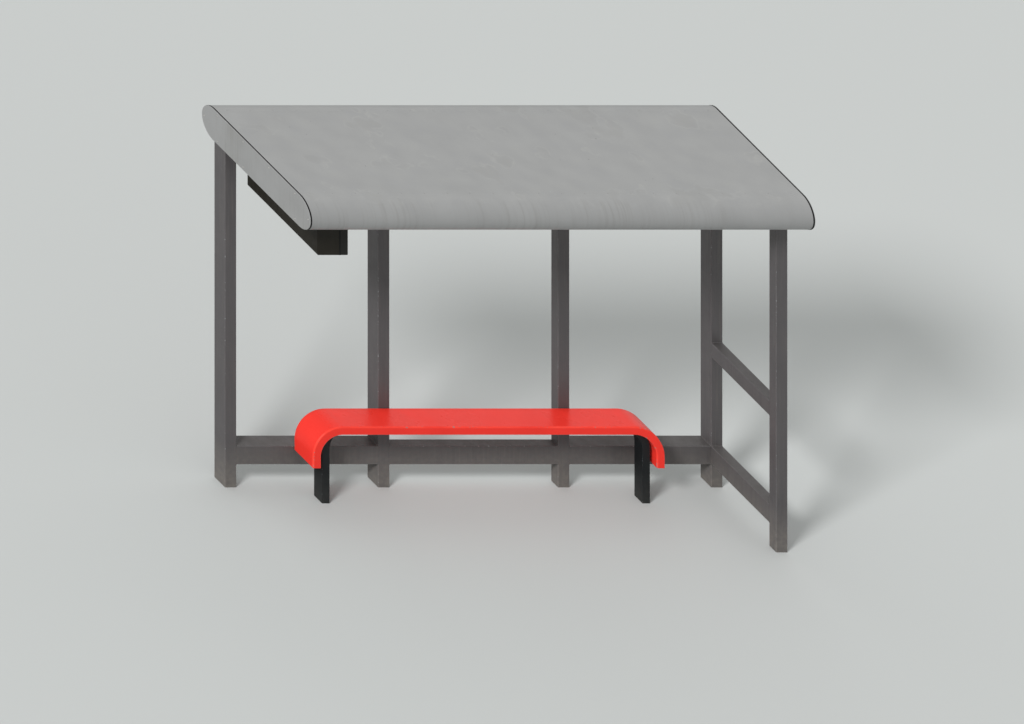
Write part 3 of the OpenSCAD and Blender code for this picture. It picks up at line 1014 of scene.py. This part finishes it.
class SHELTER_OT_soffit(bpy.types.Operator):
    """Makes the three panels under the roof and their screws, clear of the post heads"""

    bl_idname = "shelter.make_soffit"
    bl_label = "Make Soffit"

    screw_edge = 0.02
    screw_pitch = 0.16

    def execute(self, context):
        sizes = context.scene.shelter_sizes
        paint = bpy.data.materials["powder coated roof sheet"]
        steel = bpy.data.materials["stainless steel"]
        screws = []
        for node in SOFFITS:
            finish_copy(node, "_panel", sizes.sheet_edge, paint, segments=2)
            screws += self.screws(*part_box(node), sizes)
        finish_piece(merged(screws), "soffit_screws", steel)
        return {"FINISHED"}

    def screws(self, low, high, sizes):
        """Screws along both ends of a panel, apart from those that a plate would cover."""
        count = round((high.y - low.y) / self.screw_pitch)
        pitch = (high.y - low.y - 2 * self.screw_edge) / count
        for x in (low.x + self.screw_edge, high.x - self.screw_edge):
            for i in range(count + 1):
                point = Vector((x, low.y + self.screw_edge + i * pitch, low.z))
                if not self.under_plate(point, 2 * sizes.screw_radius):
                    yield screw_head(point, (0, 0, -1), sizes.screw_radius, SCREW_HEIGHT)

    def under_plate(self, point, margin):
        """Whether a head plate or the display's mounting plate lies under a point of the soffit."""
        for node in (*POST_HEADS, "display_mount"):
            low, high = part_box(node)
            beside = max(low.x - point.x, point.x - high.x, low.y - point.y, point.y - high.y)
            if beside < margin:
                return True
        return False


class SHELTER_OT_display_case(bpy.types.Operator):
    """Makes the display's mounting plate, housing, door, seals, hinges and locks"""

    bl_idname = "shelter.make_display_case"
    bl_label = "Make Display Case"

    glass_edge = 0.012
    joint_seal = 0.002
    window_seal = 0.003
    window_seal_height = 0.0022
    window_corner = 0.001
    hinge_radius = 0.0042
    hinge_length = 0.026
    hinge_inset = 0.12
    hinge_proud = 0.0008
    knuckle_gap = 0.001
    lock_inset = 0.14
    lock_height = 0.003
    lock_recess = 0.002
    lock_taper = 0.94
    lock_rim = 0.3
    lock_key = 0.38

    def execute(self, context):
        sizes = context.scene.shelter_sizes
        colours = context.scene.shelter_colours
        paint = coated_case_sheet("powder coated case sheet", colours.case_paint)
        door_paint = coated_case_sheet("powder coated door sheet", colours.door_paint)
        rubber = bpy.data.materials["black EPDM rubber"]
        steel = bpy.data.materials["stainless steel"]
        mount = block(*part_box("display_mount"), sizes.plate_edge)
        finish_piece(mount, "display_mount_plate", paint, ["display_mount"])
        for node, coat in (("display_housing", paint), ("display_door", door_paint)):
            finish_copy(node, "_sheet", sizes.sheet_edge, coat, segments=2)
        finish_piece(self.seals(sizes), "display_seals", rubber)
        finish_piece(merged(self.hinges()), "display_hinges", paint)
        finish_piece(merged(self.locks(sizes)), "display_locks", steel)
        return {"FINISHED"}

    def window_frame(self):
        """Width of the door's frame round the glass that shows."""
        door_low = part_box("display_door")[0]
        glass_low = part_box("display_glass_pane")[0]
        return glass_low.z - door_low.z + self.glass_edge

    def seals(self, sizes):
        """A rubber lip between housing and door, and another round the glass that shows."""
        low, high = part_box("display_door")
        centre = (low + high) / 2
        size = high - low
        proud = 2 * sizes.seal_proud
        joint = slab(
            start=(low.x - sizes.seal_width / 2, centre.y, centre.z),
            size=(size.y + proud, size.z + proud),
            corner=proud,
            steps=CORNER_STEPS,
            length=sizes.seal_width,
            wall=sizes.seal_proud + self.joint_seal,
        )
        sash = 2 * self.window_frame()
        window = slab(
            start=(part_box("display_glass_pane")[1].x, centre.y, centre.z),
            size=(size.y - sash, size.z - sash),
            corner=self.window_corner,
            steps=2,
            length=self.window_seal_height,
            wall=self.window_seal,
        )
        return merged([joint, window])

    def hinges(self):
        """Two hinges of three knuckles each along the top of the joint."""
        low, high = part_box("display_door")
        length = self.hinge_length - self.knuckle_gap
        for middle in (low.y + self.hinge_inset, high.y - self.hinge_inset):
            for knuckle in (-1, 0, 1):
                bm = drum(sides=20, radius=self.hinge_radius, height=length)
                soften(bm, self.knuckle_gap / 2, segments=2)
                y = middle + knuckle * self.hinge_length - length / 2
                yield stood(bm, (low.x, y, high.z + self.hinge_proud), (0, 1, 0))

    def locks(self, sizes):
        """Two round cam locks low on the door's face, each with a three-sided key post."""
        low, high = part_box("display_door")
        height = low.z + self.window_frame() / 2
        radius = sizes.lock_radius
        for y in (low.y + self.lock_inset, high.y - self.lock_inset):
            ring = drum(32, radius, self.lock_height, top_radius=self.lock_taper * radius)
            sink_top(ring, rim=self.lock_rim * radius, depth=self.lock_recess)
            key = drum(3, self.lock_key * radius, self.lock_height)
            yield stood(merged([ring, key]), (high.x, y, height), (1, 0, 0))


class SHELTER_OT_display_window(bpy.types.Operator):
    """Makes the display's glass and the switched-off screen behind it"""

    bl_idname = "shelter.make_display_window"
    bl_label = "Make Display Window"

    glass_chamfer = 0.0005
    modules = (6, 2)
    groove = 0.0008

    def execute(self, context):
        node = "display_glass_pane"
        glass = block(*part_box(node), self.glass_chamfer, segments=2)
        finish_piece(glass, "display_glass_sheet", tinted_glass(), [node])
        node = "display_screen"
        lamps = self.lamp_panel(*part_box(node))
        finish_piece(lamps, "display_lamp_panel", lamp_matrix(), [node])
        return {"FINISHED"}

    def lamp_panel(self, low, high):
        """A panel of square lamp modules with fine grooves between them."""
        size = high - low
        bm = bmesh.new()
        bmesh.ops.create_grid(bm, x_segments=self.modules[0], y_segments=self.modules[1], size=0.5)
        bmesh.ops.scale(bm, vec=(size.y, size.z, 1), verts=bm.verts)
        front = extrude(bm, bm.faces[:], (0, 0, size.x - self.groove))
        bmesh.ops.inset_individual(bm, faces=front, thickness=self.groove)
        bmesh.ops.inset_individual(bm, faces=front, thickness=self.groove / 4, depth=self.groove)
        start = (low.x, (low.y + high.y) / 2, (low.z + high.z) / 2)
        return moved(bm, Matrix.Translation(start) @ turn_to("X"))


class SHELTER_OT_bench_seat(bpy.types.Operator):
    """Makes the red seat as one hollow section bent down at both ends"""

    bl_idname = "shelter.make_bench_seat"
    bl_label = "Make Bench Seat"

    bend_radius = 0.2
    bend_steps = 32
    thickness = 0.054
    end_edge = 0.002

    def execute(self, context):
        sizes = context.scene.shelter_sizes
        steel = coated_seat_steel(context.scene.shelter_colours.seat_paint)
        low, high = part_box("bench_seat")
        middle = self.bend_radius - self.thickness / 2
        depth = high.y - low.y
        left = Vector((low.x + self.bend_radius, (low.y + high.y) / 2, high.z - self.bend_radius))
        right = Vector((high.x - self.bend_radius, left.y, left.z))
        bm = bmesh.new()
        faces = rounded_face(bm, self.thickness, depth, sizes.seat_corner)
        bmesh.ops.translate(bm, vec=(left.x - middle, left.y, low.z), verts=bm.verts)
        faces = extrude(bm, faces, (0, 0, left.z - low.z))
        faces = bend(bm, faces, left, "Y", QUARTER_TURN, self.bend_steps)
        faces = extrude(bm, faces, (right.x - left.x, 0, 0))
        faces = bend(bm, faces, right, "Y", QUARTER_TURN, self.bend_steps)
        extrude(bm, faces, (0, 0, low.z - right.z))
        ends = [e for e in bm.edges if all(abs(v.co.z - low.z) < MERGE for v in e.verts)]
        soften(bm, self.end_edge, chosen=ends)
        finish_piece(bm, "bench_seat_section", steel, ["bench_seat"])
        return {"FINISHED"}


class SHELTER_OT_bench_legs(bpy.types.Operator):
    """Makes the two bench legs, which curve in under the seat"""

    bl_idname = "shelter.make_bench_legs"
    bl_label = "Make Bench Legs"

    def execute(self, context):
        sizes = context.scene.shelter_sizes
        steel = coated_leg_steel(context.scene.shelter_colours.leg_paint)
        for node in BENCH_LEGS:
            finish_copy(node, "_tube", sizes.leg_edge, steel)
        return {"FINISHED"}


STEPS = (
    SHELTER_OT_stage,
    SHELTER_OT_posts,
    SHELTER_OT_rails,
    SHELTER_OT_post_heads,
    SHELTER_OT_roof_frame,
    SHELTER_OT_roof_skin,
    SHELTER_OT_roof_ends,
    SHELTER_OT_soffit,
    SHELTER_OT_display_case,
    SHELTER_OT_display_window,
    SHELTER_OT_bench_seat,
    SHELTER_OT_bench_legs,
)


class SHELTER_PT_panel(bpy.types.Panel):
    """Lists the shelter's pieces with their sizes and colours"""

    bl_idname = "SHELTER_PT_panel"
    bl_label = "Bus Shelter"
    bl_space_type = "VIEW_3D"
    bl_region_type = "UI"
    bl_category = "Shelter"

    def draw(self, context):
        layout = self.layout
        for step in STEPS:
            layout.operator(step.bl_idname)
        for group in (context.scene.shelter_sizes, context.scene.shelter_colours):
            for name in group.__annotations__:
                layout.prop(group, name)


CLASSES = (ShelterSizes, ShelterColours, *STEPS, SHELTER_PT_panel)


def register():
    for cls in CLASSES:
        bpy.utils.register_class(cls)
    bpy.types.Scene.shelter_sizes = bpy.props.PointerProperty(type=ShelterSizes)
    bpy.types.Scene.shelter_colours = bpy.props.PointerProperty(type=ShelterColours)


def unregister():
    del bpy.types.Scene.shelter_colours
    del bpy.types.Scene.shelter_sizes
    for cls in reversed(CLASSES):
        bpy.utils.unregister_class(cls)


def main():
    register()
    for step in STEPS:
        group, name = step.bl_idname.split(".")
        getattr(getattr(bpy.ops, group), name)()


if __name__ == "__main__":
    main()
